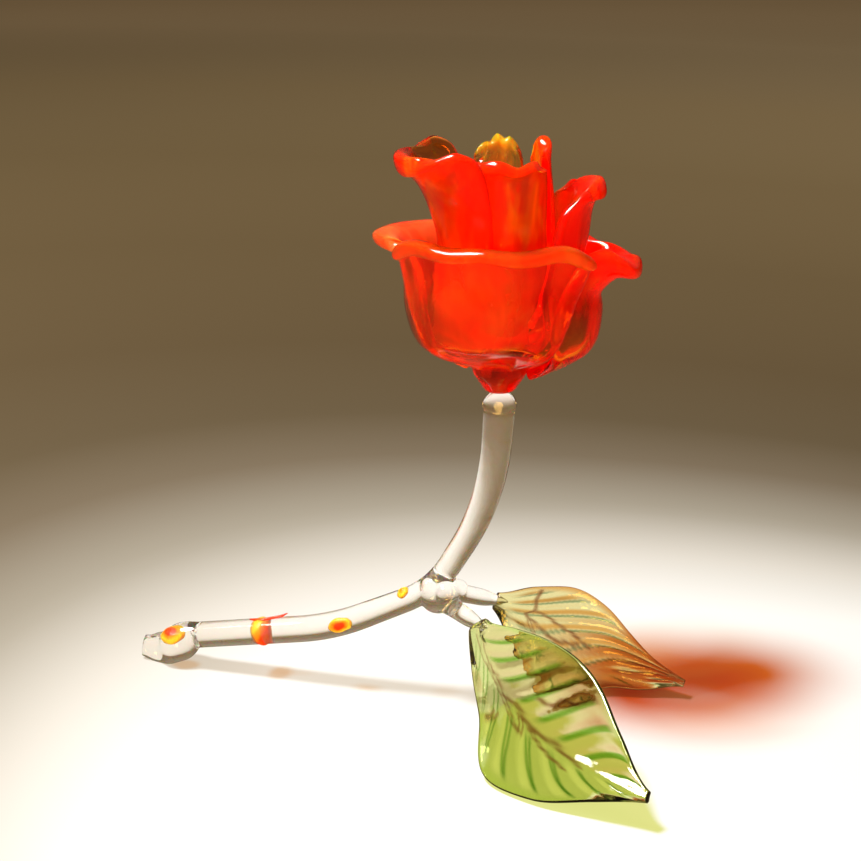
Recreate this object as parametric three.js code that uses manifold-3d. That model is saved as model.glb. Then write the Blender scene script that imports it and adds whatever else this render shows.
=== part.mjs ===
// Flameworked glass rose: a bent clear rod, a red flower of rolled petals and two pressed green leaves.
// Millimetres, +Z up. The origin is the middle of the foot's resting face. The stem bends in the XZ plane.
import * as THREE from "three";
import { mergeVertices } from "three/addons/utils/BufferGeometryUtils.js";
import Module from "manifold-3d";

const wasm = await Module();
wasm.setup();

// Gap left at each weld, where two pieces of glass are fused
const WELD_GAP = 0.3;

// Stem rod, followed from the foot to the flower: straight runs joined by bends
const ROD_DIAMETER = 4.7;
const KNEE_DIAMETER = 4.1; // stretched where the rod was bent
const NECK_DIAMETER = 5.1; // under the flower
const ROD_START_X = 6.8;
const ROD_START_Z = 6.2;
const ROD_SLOPE = 11.5; // degrees above the table
const LOWER_RUN = 20.2;
const EASE_RADIUS = 46;
const EASE_ANGLE = 15.7;
const MIDDLE_RUN = 8.8;
const KNEE_RADIUS = 20;
const KNEE_ANGLE = 32.7;
const UPPER_RUN = 4.3;
const NECK_RADIUS = 43;
const NECK_ANGLE = 27;
const NECK_RUN = 5.8;

// Foot, a gather at the rod's low end, pinched at the tip and flat below
const FOOT_LENGTH = 11;
const FOOT_HEIGHT = 6.8;
const FOOT_WIDTH = 6.6;
const PINCH_WIDTH = 2.4;
const PINCH_HEIGHT = 5.6;

// Collar bead between the rod and the flower
const COLLAR_BULGE = 0.6; // how much wider than the neck
const COLLAR_HEIGHT = 3.9;

// Knot, a bead on the knee that carries the leaf stalks
const KNOT_LENGTH = 7.4; // along the rod
const KNOT_DIAMETER = 6.8;
const KNOT_OFFSET = 1.9; // towards the leaves

// Bud core, the red gather that every petal is fused to
const CORE_FOOT_RADIUS = 2.3;
const CORE_RADIUS = 4.7;
const CORE_SHOULDER = 4.2; // height of the widest place
const CORE_HEIGHT = 27;

// Petals, in three rings
const FLOWER_TURN = 18.8; // degrees about the flower's axis
const PETAL_RISE = 36; // of the tallest petal above the core's shoulder
const PETAL_REACH = 14; // of the widest lip out from the petals inside it
const INNER_THICKNESS = 1.4;
const MIDDLE_THICKNESS = 1.5;
const OUTER_THICKNESS = 1.6;
const INNER_LIP = 2.2; // thickness of the melted rim
const MIDDLE_LIP = 2.7;
const OUTER_LIP = 3.2;

// Leaves and their stalks
const FRONT_LEAF_LENGTH = 46.5; // seen from above, from the neck to the tip
const FRONT_LEAF_WIDTH = 25;
const FRONT_TIP_HEIGHT = 6; // above the table
const REAR_LEAF_LENGTH = 32.8;
const REAR_LEAF_WIDTH = 22;
const REAR_TIP_HEIGHT = 3;
const LEAF_THICKNESS = 2.1;
const VEIN_DEPTH = 0.7;
const VEINS_PER_SIDE = 8;
const REST_DEPTH = 0.25; // ground off the margin that stands on the table
const STALK_DIAMETER = 3.3;
const FRONT_STALK_REACH = 7.2; // away from the foot, from the knot's centre to the leaf's neck
const FRONT_STALK_ASIDE = -0.6;
const FRONT_STALK_DROP = 4.6;
const REAR_STALK_REACH = 7.4;
const REAR_STALK_ASIDE = 8.2;
const REAR_STALK_DROP = 3.6;

// Colour spots melted onto the rod
const BAND_HEIGHT = 0.8; // above the rod
const BAND_LENGTH = 4.2;
const MIDDLE_SPOT_LENGTH = 4.4;
const MIDDLE_SPOT_WIDTH = 2.6;
const KNEE_SPOT_LENGTH = 2.4;
const KNEE_SPOT_WIDTH = 2;
const FOOT_SPOT_LENGTH = 5;
const FOOT_SPOT_WIDTH = 3.6;
const SPOT_HEIGHT = 0.8; // above the rod
const FOOT_SPOT_HEIGHT = 1.2; // above the foot

const UP = new THREE.Vector3(0, 0, 1);
const SIDEWAYS = new THREE.Vector3(0, 1, 0);
const { clamp, degToRad: radians, lerp: mix, smoothstep } = THREE.MathUtils;
const vector = (x, y, z) => new THREE.Vector3(x, y, z);
const spline = (points) => new THREE.SplineCurve(points.map(([x, y]) => new THREE.Vector2(x, y)));
const graph = (values) => spline(values.map((value, n) => [n, value]));

// Glass finishes
const glass = (color, roughness) => new THREE.MeshStandardMaterial({ color, roughness, metalness: 0 });
const CLEAR_GLASS = glass(0xe9e4d8, 0.04);
const RED_GLASS = glass(0xf4320a, 0.06);
const GREEN_GLASS = glass(0x9db53c, 0.06);
const ORANGE_GLASS = glass(0xf58a1c, 0.1);

// Closed bodies

// A geometry from points and triangles, with its faces turned outwards
function body(points, triangles) {
  let volume = 0;
  for (const [a, b, c] of triangles) {
    volume += points[a].dot(points[b].clone().cross(points[c]));
  }
  const order = volume < 0 ? triangles.map(([a, b, c]) => [a, c, b]) : triangles;
  const geometry = new THREE.BufferGeometry().setFromPoints(points);
  geometry.setIndex(order.flat());
  return geometry;
}

// A body through a row of rings of equal count, capped at both ends
function loft(rings) {
  const count = rings[0].length;
  const points = rings.flat();
  const triangles = [];
  for (let row = 0; row < rings.length - 1; row += 1) {
    for (let i = 0; i < count; i += 1) {
      const a = row * count + i;
      const b = row * count + ((i + 1) % count);
      triangles.push([a, b, b + count], [a, b + count, a + count]);
    }
  }
  for (const [row, flip] of [[0, true], [rings.length - 1, false]]) {
    const centre = points.length;
    points.push(rings[row].reduce((sum, p) => sum.add(p), vector(0, 0, 0)).divideScalar(count));
    for (let i = 0; i < count; i += 1) {
      const a = row * count + i;
      const b = row * count + ((i + 1) % count);
      triangles.push(flip ? [centre, b, a] : [centre, a, b]);
    }
  }
  return body(points, triangles);
}

// An elliptical ring about a point, with its half widths along two directions
function ring(centre, across, halfAcross, over, halfOver, count) {
  return Array.from({ length: count }, (_, i) => {
    const angle = (2 * Math.PI * i) / count;
    return centre
      .clone()
      .addScaledVector(across, halfAcross * Math.cos(angle))
      .addScaledVector(over, halfOver * Math.sin(angle));
  });
}

// A sheet of glass with a rounded border: surface(u, v) is its middle, u from -1 to 1 and v from 0 to 1
function sheet(surface, thicknessAt, columns, rows) {
  const NOSE = 0.38; // how far the border bulges, in thicknesses
  const STEP = 1e-3;
  const frameAt = (i, j) => {
    const u = (2 * i) / columns - 1;
    const v = j / rows;
    const along = surface(u, Math.min(v + STEP, 1)).sub(surface(u, Math.max(v - STEP, 0))).normalize();
    const across = surface(Math.min(u + STEP, 1), v).sub(surface(Math.max(u - STEP, -1), v)).normalize();
    const normal = across.clone().cross(along).normalize();
    return { point: surface(u, v), along, across, normal, thickness: thicknessAt(u, v) };
  };
  const at = (i, j) => j * (columns + 1) + i;
  const front = [];
  const behind = [];
  for (let j = 0; j <= rows; j += 1) {
    for (let i = 0; i <= columns; i += 1) {
      const { point, normal, thickness } = frameAt(i, j);
      front.push(point.clone().addScaledVector(normal, thickness / 2));
      behind.push(point.clone().addScaledVector(normal, -thickness / 2));
    }
  }
  const border = [];
  for (let i = 0; i < columns; i += 1) border.push([i, 0]);
  for (let j = 0; j < rows; j += 1) border.push([columns, j]);
  for (let i = columns; i > 0; i -= 1) border.push([i, rows]);
  for (let j = rows; j > 0; j -= 1) border.push([0, j]);
  const noses = border.map(([i, j]) => {
    const { point, along, across, thickness } = frameAt(i, j);
    const out = vector(0, 0, 0);
    if (i === 0) out.sub(across);
    if (i === columns) out.add(across);
    if (j === 0) out.sub(along);
    if (j === rows) out.add(along);
    return point.addScaledVector(out.normalize(), thickness * NOSE);
  });
  const back = front.length;
  const nose = 2 * back;
  const triangles = [];
  for (let j = 0; j < rows; j += 1) {
    for (let i = 0; i < columns; i += 1) {
      const [a, b, c, d] = [at(i, j), at(i + 1, j), at(i + 1, j + 1), at(i, j + 1)];
      triangles.push([a, b, c], [a, c, d]);
      triangles.push([back + a, back + c, back + b], [back + a, back + d, back + c]);
    }
  }
  border.forEach(([i, j], n) => {
    const next = (n + 1) % border.length;
    const a = at(i, j);
    const b = at(...border[next]);
    triangles.push([b, a, nose + n], [b, nose + n, nose + next]);
    triangles.push([nose + next, nose + n, back + a], [nose + next, back + a, back + b]);
  });
  return body([...front, ...behind, ...noses], triangles);
}

// A body turned about Z from an outline of [radius, height]
function turned(outline, sides) {
  const profile = outline.map(([r, z]) => new THREE.Vector2(r, z));
  return new THREE.LatheGeometry(profile, sides).rotateX(Math.PI / 2);
}

// A solid for cutting, from any closed geometry
function solid(geometry) {
  const bare = geometry.clone();
  bare.deleteAttribute("normal");
  bare.deleteAttribute("uv");
  const merged = mergeVertices(bare, 1e-4);
  const vertProperties = new Float32Array(merged.attributes.position.array);
  const triVerts = new Uint32Array(merged.index.array);
  return new wasm.Manifold(new wasm.Mesh({ numProp: 3, vertProperties, triVerts }));
}

// The first geometry with the others cut away
function cut(geometry, ...tools) {
  const left = tools.reduce((rest, tool) => rest.subtract(solid(tool)), solid(geometry));
  const { vertProperties, triVerts } = left.getMesh();
  const made = new THREE.BufferGeometry();
  made.setAttribute("position", new THREE.BufferAttribute(vertProperties, 3));
  made.setIndex(new THREE.BufferAttribute(triVerts, 1));
  return made;
}

// Everything below the table
const TABLE_CUT = new THREE.BoxGeometry(400, 400, 50).translate(0, 0, -25);

function piece(name, geometry, material) {
  const mesh = new THREE.Mesh(geometry, material);
  mesh.name = name;
  return mesh;
}

// Stem

// The bent rod's centre line, walked run by run and bend by bend
function bendRod() {
  const STEP = 2;
  const points = [vector(ROD_START_X, 0, ROD_START_Z)];
  let heading = radians(ROD_SLOPE);
  const walk = (length, turn) => {
    const steps = Math.max(1, Math.round(length / STEP));
    for (let i = 0; i < steps; i += 1) {
      heading += turn / steps / 2;
      const forward = vector(Math.cos(heading), 0, Math.sin(heading));
      points.push(points.at(-1).clone().addScaledVector(forward, length / steps));
      heading += turn / steps / 2;
    }
  };
  const bend = (radius, angle) => walk(radius * radians(angle), radians(angle));
  walk(LOWER_RUN, 0);
  bend(EASE_RADIUS, EASE_ANGLE);
  walk(MIDDLE_RUN, 0);
  bend(KNEE_RADIUS, KNEE_ANGLE);
  walk(UPPER_RUN, 0);
  bend(NECK_RADIUS, NECK_ANGLE);
  walk(NECK_RUN, 0);
  return new THREE.CatmullRomCurve3(points);
}
const rodLine = bendRod();
const easeLength = EASE_RADIUS * radians(EASE_ANGLE);
const kneeLength = KNEE_RADIUS * radians(KNEE_ANGLE);
const toKnee = LOWER_RUN + easeLength + MIDDLE_RUN + kneeLength / 2;
const kneeAt = toKnee / rodLine.getLength();

// The rod's radius at a share of its length
function rodRadius(share) {
  const lower = mix(ROD_DIAMETER, KNEE_DIAMETER, smoothstep(share, kneeAt / 2, kneeAt));
  return mix(lower, NECK_DIAMETER, smoothstep(share, kneeAt, 1)) / 2;
}

function rodBody(grow) {
  const SIDES = 14;
  const RINGS = 40;
  return loft(Array.from({ length: RINGS + 1 }, (_, n) => {
    const share = n / RINGS;
    const radius = rodRadius(share) + grow;
    const over = rodLine.getTangentAt(share).cross(SIDEWAYS);
    return ring(rodLine.getPointAt(share), SIDEWAYS, radius, over, radius, SIDES);
  }));
}

// The foot hangs from the rod's low end down to its pinched tip
function footBody(grow) {
  const SIDES = 18;
  const RINGS = 12;
  const heading = rodLine.getTangentAt(0);
  const start = rodLine.getPointAt(0).addScaledVector(heading, grow - WELD_GAP);
  const tip = vector(ROD_START_X - FOOT_LENGTH, 0, PINCH_HEIGHT * 0.46);
  const line = new THREE.CubicBezierCurve3(
    start,
    start.clone().addScaledVector(heading, -FOOT_LENGTH / 3),
    vector(mix(tip.x, start.x, 0.62), 0, FOOT_HEIGHT * 0.2),
    tip,
  );
  const swell = (full, pinch) => (
    graph([ROD_DIAMETER, 0.9 * full, full, 0.9 * full, 1.15 * pinch, 0.8 * pinch])
  );
  const width = swell(FOOT_WIDTH, PINCH_WIDTH);
  const height = swell(FOOT_HEIGHT, PINCH_HEIGHT);
  return loft(Array.from({ length: RINGS + 1 }, (_, n) => {
    const share = n / RINGS;
    const halfWidth = width.getPoint(share).y / 2 + grow;
    const halfHeight = height.getPoint(share).y / 2 + grow;
    const over = line.getTangentAt(share).cross(SIDEWAYS);
    return ring(line.getPointAt(share), SIDEWAYS, halfWidth, over, halfHeight, SIDES);
  }));
}

// The way out from the rod's axis at a share of its length: 0 degrees is its top, 90 its front
function outFromRod(share, angle) {
  const along = rodLine.getTangentAt(share);
  return along.clone().cross(SIDEWAYS).applyAxisAngle(along, radians(angle));
}

// A bead laid on the rod, lifted off its axis
function bead({ share, angle, lift, size: [length, width, depth] }, grow) {
  const along = rodLine.getTangentAt(share);
  const out = outFromRod(share, angle);
  const shape = new THREE.SphereGeometry(0.5, 16, 10);
  shape.scale(length + 2 * grow, width + 2 * grow, depth + 2 * grow);
  shape.applyMatrix4(new THREE.Matrix4().makeBasis(along, out.clone().cross(along), out));
  return shape.translate(...rodLine.getPointAt(share).addScaledVector(out, lift));
}
const KNOT = {
  share: kneeAt,
  angle: 180,
  lift: KNOT_OFFSET,
  size: [KNOT_LENGTH, KNOT_DIAMETER, KNOT_DIAMETER],
};
const knotCentre = rodLine.getPointAt(kneeAt).addScaledVector(outFromRod(kneeAt, KNOT.angle), KNOT_OFFSET);

// The collar stands upright on the rod's top end
const collarCentre = rodLine.getPointAt(1);
function collarBody(grow) {
  const radius = (NECK_DIAMETER + COLLAR_BULGE) / 2 + grow;
  const half = COLLAR_HEIGHT / 2 + grow;
  const outline = [[0, -1], [0.72, -1], [0.94, -0.6], [1, 0], [0.94, 0.6], [0.72, 1], [0, 1]];
  return turned(outline.map(([r, z]) => [r * radius, z * half]), 18).translate(...collarCentre);
}

// Colour spots melted onto the rod
const bandDiameter = ROD_DIAMETER + 2 * BAND_HEIGHT;
const SPOTS = {
  colour_band: { share: 0.155, angle: 0, lift: 0, size: [BAND_LENGTH, bandDiameter, bandDiameter] },
  colour_spot_middle: {
    share: 0.345,
    angle: 85,
    lift: rodRadius(0.345),
    size: [MIDDLE_SPOT_LENGTH, MIDDLE_SPOT_WIDTH, 2 * SPOT_HEIGHT],
  },
  colour_spot_knee: {
    share: 0.505,
    angle: 30,
    lift: rodRadius(0.505),
    size: [KNEE_SPOT_LENGTH, KNEE_SPOT_WIDTH, 2 * SPOT_HEIGHT],
  },
};

// The spot on the foot, at its top and front
function footSpot() {
  const spot = new THREE.SphereGeometry(0.5, 14, 8);
  spot.scale(FOOT_SPOT_LENGTH, FOOT_SPOT_WIDTH, 2 * FOOT_SPOT_HEIGHT);
  spot.rotateX(radians(30)).rotateY(radians(-15));
  spot.translate(ROD_START_X - 0.36 * FOOT_LENGTH, -0.26 * FOOT_WIDTH, FOOT_HEIGHT);
  return cut(spot, footBody(1.4 * WELD_GAP));
}

// Flower

const coreOutline = [
  [0, 0],
  [CORE_FOOT_RADIUS, 0],
  [CORE_FOOT_RADIUS * 1.25, CORE_SHOULDER * 0.25],
  [CORE_RADIUS * 0.93, CORE_SHOULDER * 0.72],
  [CORE_RADIUS, CORE_SHOULDER],
  [CORE_RADIUS * 0.96, CORE_SHOULDER * 1.6],
  [CORE_RADIUS * 0.92, CORE_HEIGHT * 0.5],
  [CORE_RADIUS * 0.8, CORE_HEIGHT * 0.72],
  [CORE_RADIUS * 0.48, CORE_HEIGHT * 0.92],
  [0, CORE_HEIGHT],
];

// Each ring lies outside the ones before it
const INNER = { thickness: INNER_THICKNESS, lip: INNER_LIP, inside: 0 };
const MIDDLE = { thickness: MIDDLE_THICKNESS, lip: MIDDLE_LIP, inside: INNER_THICKNESS };
const OUTER = { thickness: OUTER_THICKNESS, lip: OUTER_LIP, inside: INNER_THICKNESS + MIDDLE_THICKNESS };

// A petal spreads about its azimuth, from the profile of its middle to the profile of its sides.
// Both are [reach, rise] from the core's shoulder, as shares, and spread is in degrees from foot to rim.
function petal({ around, azimuth, middle, sides, spread, falloff = 2, dip = 0, ruffle = 0 }) {
  const { thickness, lip, inside } = around;
  const [middleLine, sideLine, spreadLine] = [spline(middle), spline(sides), graph(spread)];
  const surface = (u, v) => {
    const profile = middleLine.getPoint(v).lerp(sideLine.getPoint(v), Math.abs(u) ** falloff);
    const lift = v ** 3 * (dip * u + ruffle * Math.cos(3 * Math.PI * u));
    const radius = CORE_RADIUS + thickness / 2 + inside * clamp(4 * v, 0, 1) + PETAL_REACH * profile.x;
    const height = CORE_SHOULDER + PETAL_RISE * (profile.y + lift);
    const angle = radians(azimuth + u * spreadLine.getPoint(v).y);
    return vector(radius * Math.cos(angle), radius * Math.sin(angle), height);
  };
  // The rim is melted to a bead, thickest in its middle and rounded off at its end
  const thicknessAt = (u, v) => {
    const melted = mix(thickness, lip, smoothstep(v, 0.72, 0.9) * (1 - u ** 4));
    return melted * (1 - 0.4 * smoothstep(v, 0.9, 1));
  };
  return sheet(surface, thicknessAt, 12, 10);
}

const PETALS = {
  outer_petal_front: {
    around: OUTER,
    azimuth: -102,
    middle: [
      [0.03, 0.08], [0.2, 0.12], [0.4, 0.21], [0.48, 0.33],
      [0.5, 0.48], [0.57, 0.6], [0.71, 0.58],
    ],
    sides: [
      [0.03, 0.05], [0.22, 0.08], [0.42, 0.17], [0.49, 0.29],
      [0.49, 0.41], [0.54, 0.5], [0.67, 0.53],
    ],
    spread: [32, 40, 48, 53, 61, 66, 64],
    falloff: 4,
    ruffle: 0.01,
  },
  outer_petal_right: {
    around: OUTER,
    azimuth: 11,
    middle: [
      [0.03, -0.01], [0.24, 0.03], [0.43, 0.13], [0.5, 0.27],
      [0.5, 0.36], [0.74, 0.43], [1.02, 0.43],
    ],
    sides: [
      [0.03, 0], [0.13, 0.04], [0.22, 0.15], [0.31, 0.29],
      [0.32, 0.42], [0.385, 0.53], [0.6, 0.57],
    ],
    spread: [38, 49, 60, 64, 58, 44, 25],
  },
  outer_petal_left: {
    around: OUTER,
    azimuth: 150,
    middle: [
      [0.03, 0.03], [0.22, 0.06], [0.4, 0.15], [0.49, 0.28],
      [0.48, 0.43], [0.68, 0.56], [1, 0.53],
    ],
    sides: [
      [0.03, 0.04], [0.12, 0.07], [0.2, 0.16], [0.29, 0.29],
      [0.31, 0.4], [0.33, 0.49], [0.39, 0.54],
    ],
    spread: [38, 48, 56, 58, 54, 44, 36],
  },
  middle_petal_left: {
    around: MIDDLE,
    azimuth: 190,
    middle: [
      [0, 0.14], [0.14, 0.19], [0.22, 0.29], [0.23, 0.42],
      [0.18, 0.59], [0.33, 0.77], [0.58, 0.9], [0.73, 0.91],
    ],
    sides: [
      [0, 0.14], [0.12, 0.2], [0.18, 0.31], [0.18, 0.46],
      [0.18, 0.63], [0.22, 0.81], [0.31, 0.95], [0.41, 0.99],
    ],
    spread: [34, 46, 60, 68, 70, 66, 58, 44],
  },
  middle_petal_right: {
    around: MIDDLE,
    azimuth: 2,
    middle: [
      [0, 0.09], [0.16, 0.15], [0.28, 0.26], [0.33, 0.41],
      [0.42, 0.57], [0.45, 0.71], [0.53, 0.79], [0.66, 0.81],
    ],
    sides: [
      [0, 0.09], [0.15, 0.16], [0.22, 0.28], [0.26, 0.41],
      [0.33, 0.57], [0.37, 0.7], [0.41, 0.76], [0.46, 0.78],
    ],
    spread: [34, 44, 52, 56, 53, 46, 36, 24],
  },
  middle_petal_back: {
    around: MIDDLE,
    azimuth: 93,
    middle: [
      [0, 0.09], [0.14, 0.15], [0.26, 0.26], [0.29, 0.41],
      [0.31, 0.57], [0.41, 0.7], [0.54, 0.73],
    ],
    sides: [
      [0, 0.09], [0.13, 0.16], [0.19, 0.28], [0.24, 0.41],
      [0.26, 0.57], [0.3, 0.68], [0.37, 0.71],
    ],
    spread: [22, 22, 22, 22, 22, 22, 20],
  },
  inner_petal_front: {
    around: INNER,
    azimuth: -98,
    middle: [
      [0, 0.21], [0.1, 0.29], [0.14, 0.44], [0.15, 0.61],
      [0.14, 0.79], [0.17, 0.89], [0.27, 0.92],
    ],
    sides: [[0, 0.21], [0.1, 0.3], [0.14, 0.44], [0.14, 0.61], [0.13, 0.79], [0.13, 0.9], [0.16, 0.94]],
    spread: [34, 56, 68, 70, 70, 68, 58],
    dip: -0.02,
    ruffle: 0.012,
  },
  inner_petal_back: {
    around: INNER,
    azimuth: 97,
    middle: [
      [0, 0.21], [0.04, 0.3], [0.04, 0.44], [0.03, 0.61],
      [0, 0.8], [-0.03, 0.94], [-0.06, 1.01],
    ],
    sides: [
      [0, 0.21], [0.03, 0.3], [0.03, 0.44], [0.02, 0.61],
      [0, 0.77], [-0.01, 0.89], [-0.03, 0.95],
    ],
    spread: [34, 42, 44, 45, 46, 44, 36],
    dip: -0.02,
    ruffle: 0.01,
  },
  inner_petal_right: {
    around: INNER,
    azimuth: 16,
    middle: [
      [0, 0.21], [0.09, 0.3], [0.16, 0.44], [0.17, 0.61],
      [0.14, 0.8], [0.11, 0.95], [0.1, 1.02],
    ],
    sides: [[0, 0.21], [0.09, 0.3], [0.14, 0.44], [0.16, 0.61], [0.13, 0.77], [0.1, 0.9], [0.07, 0.96]],
    spread: [24, 28, 30, 30, 30, 30, 24],
  },
};

// Leaves

// A stalk runs from its side of the knot's centre to the neck of its leaf
const STALKS = {
  front: {
    start: vector(0.15 * STALK_DIAMETER, -0.5 * STALK_DIAMETER, -0.09 * STALK_DIAMETER),
    end: vector(FRONT_STALK_REACH, FRONT_STALK_ASIDE, -FRONT_STALK_DROP),
  },
  rear: {
    start: vector(0.15 * STALK_DIAMETER, 0.55 * STALK_DIAMETER, -0.03 * STALK_DIAMETER),
    end: vector(REAR_STALK_REACH, REAR_STALK_ASIDE, -REAR_STALK_DROP),
  },
};

function stalkBody({ start, end }, grow) {
  const SIDES = 12;
  const along = end.clone().sub(start).normalize();
  const across = along.clone().cross(UP).normalize();
  const over = across.clone().cross(along);
  const last = end.clone().addScaledVector(along, grow);
  return loft([[0, 1.1], [0.45, 1.05], [0.75, 0.95], [0.93, 0.85], [1, 0.6]].map(([share, size]) => {
    const radius = (STALK_DIAMETER * size) / 2 + grow;
    return ring(start.clone().lerp(last, share).add(knotCentre), across, radius, over, radius, SIDES);
  }));
}

const direction = (heading, pitch) => vector(
  Math.cos(radians(pitch)) * Math.cos(radians(heading)),
  Math.cos(radians(pitch)) * Math.sin(radians(heading)),
  Math.sin(radians(pitch)),
);

// A leaf hangs from its stalk: the midrib is a curve to the tip, and the veins sweep forward to the margin.
// Near and far are the half widths on the two sides of the midrib, as shares of the widest half.
function leafSheet(leaf, roll) {
  const SWEEP = 0.85;
  const { stalk, length, width, heading, tipHeight, leave, arrive, tilt, cup, near, far } = leaf;
  const COLUMNS = 10;
  const start = stalk.end.clone().add(knotCentre);
  const tip = start.clone().addScaledVector(direction(heading, 0), length).setZ(tipHeight);
  const reach = start.distanceTo(tip) / 3;
  const midrib = new THREE.CubicBezierCurve3(
    start,
    start.clone().addScaledVector(direction(...leave), reach),
    tip.clone().addScaledVector(direction(...arrive), -reach),
    tip,
  );
  const [nearLine, farLine] = [graph(near), graph(far)];
  const aside = direction(heading + 90, tilt + roll);
  const surface = (u, v) => {
    const share = v + SWEEP * Math.abs(u) * v * (1 - v);
    const along = midrib.getTangent(share);
    const side = aside.clone().addScaledVector(along, -aside.dot(along)).normalize();
    const normal = along.clone().cross(side);
    const half = ((u < 0 ? nearLine : farLine).getPoint(share).y * width) / 2;
    const point = midrib.getPoint(share);
    return point.addScaledVector(side, half * u).addScaledVector(normal, cup * half * u * u);
  };
  const rows = 2 * VEINS_PER_SIDE + 2;
  const thicknessAt = (u, v) => {
    const groove = Math.round(v * rows) % 2 ? VEIN_DEPTH : 0;
    return (LEAF_THICKNESS - groove * (1 - u ** 4)) * mix(1, 0.75, v);
  };
  return sheet(surface, thicknessAt, COLUMNS, rows);
}

// The leaf rolls about its midrib until its near margin meets the table, where it is ground flat
function leafBody(leaf) {
  const degreesPerMillimetre = 180 / Math.PI / (leaf.width / 2);
  let roll = 0;
  for (let step = 0; step < 12; step += 1) {
    const trial = leafSheet(leaf, roll);
    trial.computeBoundingBox();
    roll += (trial.boundingBox.min.z + REST_DEPTH) * degreesPerMillimetre;
  }
  return cut(leafSheet(leaf, roll), TABLE_CUT, stalkBody(leaf.stalk, WELD_GAP));
}

const LEAVES = {
  leaf_front: {
    stalk: STALKS.front,
    length: FRONT_LEAF_LENGTH,
    width: FRONT_LEAF_WIDTH,
    heading: -40,
    tipHeight: FRONT_TIP_HEIGHT,
    leave: [-69, -23],
    arrive: [-18, 0],
    tilt: 50,
    cup: 0.06,
    near: [0.16, 0.26, 0.45, 0.86, 0.69, 0.32, 0.06],
    far: [0.16, 0.63, 0.93, 1.04, 0.91, 0.54, 0.08],
  },
  leaf_rear: {
    stalk: STALKS.rear,
    length: REAR_LEAF_LENGTH,
    width: REAR_LEAF_WIDTH,
    heading: 12,
    tipHeight: REAR_TIP_HEIGHT,
    leave: [28, -28],
    arrive: [-2, -14],
    tilt: 65,
    cup: 0.04,
    near: [0.15, 0.6, 1.01, 0.97, 0.54, 0.33, 0.06],
    far: [0.13, 0.45, 0.69, 0.65, 0.41, 0.18, 0.05],
  },
};

// Assembly

const rose = new THREE.Group();
rose.name = "glass_rose";
rose.add(piece("stem_rod", cut(rodBody(0), collarBody(WELD_GAP)), CLEAR_GLASS));
rose.add(piece("foot", cut(footBody(0), TABLE_CUT), CLEAR_GLASS));
rose.add(piece("collar", collarBody(0), CLEAR_GLASS));
rose.add(piece("knot", cut(bead(KNOT, 0), rodBody(WELD_GAP)), CLEAR_GLASS));
for (const [name, spot] of Object.entries(SPOTS)) {
  rose.add(piece(name, cut(bead(spot, 0), rodBody(WELD_GAP)), ORANGE_GLASS));
}
rose.add(piece("colour_spot_foot", footSpot(), ORANGE_GLASS));
for (const [name, stalk] of Object.entries(STALKS)) {
  const shape = cut(stalkBody(stalk, 0), bead(KNOT, WELD_GAP), rodBody(WELD_GAP));
  rose.add(piece(`leaf_stalk_${name}`, shape, CLEAR_GLASS));
}
for (const [name, leaf] of Object.entries(LEAVES)) {
  rose.add(piece(name, leafBody(leaf), GREEN_GLASS));
}

const flower = new THREE.Group();
flower.name = "flower";
flower.position.copy(collarCentre).addScaledVector(UP, COLLAR_HEIGHT / 2 + WELD_GAP);
flower.rotation.z = radians(FLOWER_TURN);
flower.add(piece("bud_core", turned(coreOutline, 20), RED_GLASS));
for (const [name, shape] of Object.entries(PETALS)) {
  flower.add(piece(name, petal(shape), RED_GLASS));
}
rose.add(flower);

export default rose;
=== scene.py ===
from math import cos, pi, radians, sin

import bmesh
import bpy
from mathutils import Matrix, Vector, noise


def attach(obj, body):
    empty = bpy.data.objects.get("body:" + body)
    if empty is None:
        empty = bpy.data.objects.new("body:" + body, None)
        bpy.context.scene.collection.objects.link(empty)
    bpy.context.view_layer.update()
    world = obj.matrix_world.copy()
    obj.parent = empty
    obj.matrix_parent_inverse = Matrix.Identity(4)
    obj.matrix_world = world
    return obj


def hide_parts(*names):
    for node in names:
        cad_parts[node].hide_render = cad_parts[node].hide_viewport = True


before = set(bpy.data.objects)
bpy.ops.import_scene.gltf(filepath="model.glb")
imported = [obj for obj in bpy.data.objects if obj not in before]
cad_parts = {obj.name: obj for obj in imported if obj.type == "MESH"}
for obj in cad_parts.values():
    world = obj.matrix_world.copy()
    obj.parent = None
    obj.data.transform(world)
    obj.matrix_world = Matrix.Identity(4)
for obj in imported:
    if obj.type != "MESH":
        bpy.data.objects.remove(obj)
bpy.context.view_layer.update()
scene = bpy.context.scene

# Millimetres throughout, made metres when a piece is finished
MM = 0.001
SIDEWAYS = Vector((0, 1, 0))
UP = Vector((0, 0, 1))

# Stem rod from the foot to the flower: straight runs, and bends as a radius and an angle
ROD_DIAMETER = 4.7
KNEE_DIAMETER = 4.1
NECK_DIAMETER = 5.1
ROD_START = Vector((6.8, 0, 6.2))
ROD_SLOPE = 11.5
RUNS_AND_BENDS = [(20.2, 0), (46, 15.7), (8.8, 0), (20, 32.7), (4.3, 0), (43, 27), (5.8, 0)]
KNEE_BEND = 3
ROD_STEP = 0.5
ROD_NUDGE = 0.004
ROD_RINGS = 120

# Rod and foot run into each other by a thin plug
PLUG_RADIUS = 0.3 * ROD_DIAMETER
ROD_PLUG = 3
FOOT_PLUG = 2

FOOT_LENGTH = 11
FOOT_HEIGHT = 6.8
FOOT_WIDTH = 6.6
FOOT_RINGS = 30
FOOT_NUDGE = 0.01
FOOT_SAG = (0.62, 0.2)
PINCH_WIDTH = 2.4
PINCH_HEIGHT = 5.6
PINCH_LIFT = 0.46

COLLAR_DIAMETER = 5.7
COLLAR_HEIGHT = 3.9
COLLAR_BULGE = 1.15

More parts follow.
